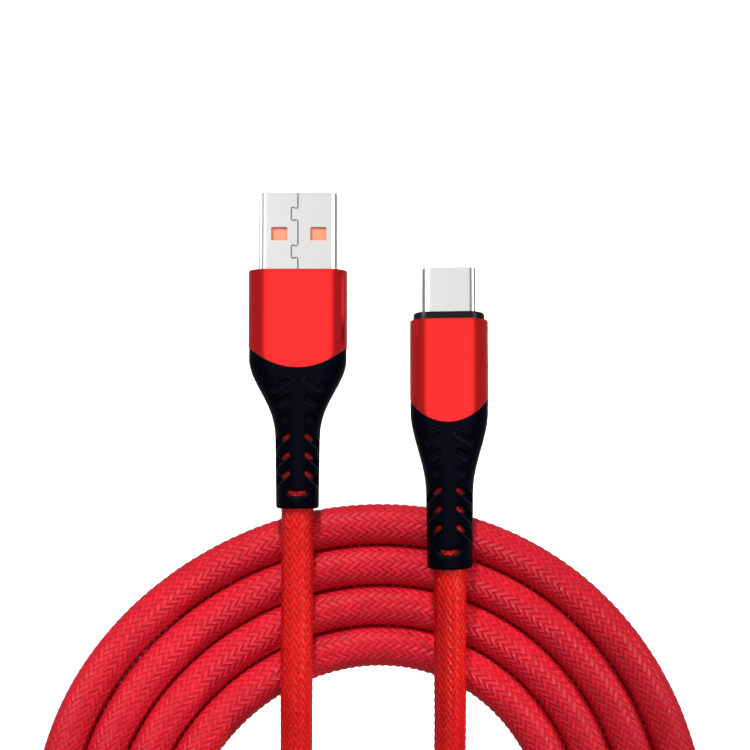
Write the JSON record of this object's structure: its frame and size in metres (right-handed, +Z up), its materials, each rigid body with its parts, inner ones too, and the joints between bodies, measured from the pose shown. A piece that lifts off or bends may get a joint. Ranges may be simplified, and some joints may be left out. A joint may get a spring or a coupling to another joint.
{
  "type": "charging cable",
  "caption": "Braided charging cable lying in a flat coil, with a rectangular plug and an oval plug, metal housings and slotted strain reliefs.",
  "frame": {"origin": "on the surface that the cable lies on, under the middle of the two plugs", "axes": "+Y towards the tips of the plugs, +Z up from the surface, +X towards the oval plug"},
  "size_m": [0.1049, 0.1533, 0.0134],
  "materials": {
    "red_aluminium": "anodised, fine satin",
    "black_rubber": "matte moulded elastomer",
    "black_plastic": "satin",
    "steel": "nickel plated, smooth",
    "orange_plastic": "satin moulded",
    "gold_plate": "gold plated",
    "white_mould": "moulded",
    "green_board": "solder resist",
    "grey_ceramic": "matte",
    "red_wire": "satin",
    "white_wire": "satin",
    "green_wire": "satin",
    "black_wire": "satin",
    "red_braid": "braided nylon"
  },
  "bodies": {
    "root": {"cord_coil": "red_braid", "cord_usb_a_lead": "red_braid", "cord_usb_c_lead": "red_braid", "usb_a_contact_data_minus": "gold_plate", "usb_a_contact_data_plus": "gold_plate", "usb_a_contact_ground": "gold_plate", "usb_a_contact_supply": "gold_plate", "usb_a_housing": "red_aluminium", "usb_a_inner_mould": "white_mould", "usb_a_insulator": "orange_plastic", "usb_a_shell": "steel", "usb_a_strain_relief": "black_rubber", "usb_a_wire_data_minus": "white_wire", "usb_a_wire_data_plus": "green_wire", "usb_a_wire_ground": "black_wire", "usb_a_wire_supply": "red_wire", "usb_c_board": "green_board", "usb_c_collar": "black_plastic", "usb_c_contact_lower_01": "gold_plate", "usb_c_contact_lower_04": "gold_plate", "usb_c_contact_lower_09": "gold_plate", "usb_c_contact_lower_12": "gold_plate", "usb_c_contact_upper_01": "gold_plate", "usb_c_contact_upper_04": "gold_plate", "usb_c_contact_upper_05": "gold_plate", "usb_c_contact_upper_06": "gold_plate", "usb_c_contact_upper_07": "gold_plate", "usb_c_contact_upper_09": "gold_plate", "usb_c_contact_upper_12": "gold_plate", "usb_c_housing": "red_aluminium", "usb_c_inner_mould": "white_mould", "usb_c_insulator": "black_plastic", "usb_c_latch_left": "steel", "usb_c_latch_right": "steel", "usb_c_resistor": "grey_ceramic", "usb_c_shell": "steel", "usb_c_strain_relief": "black_rubber", "usb_c_wire_data_minus": "white_wire", "usb_c_wire_data_plus": "green_wire", "usb_c_wire_ground": "black_wire", "usb_c_wire_supply": "red_wire"}
  },
  "joints": []
}
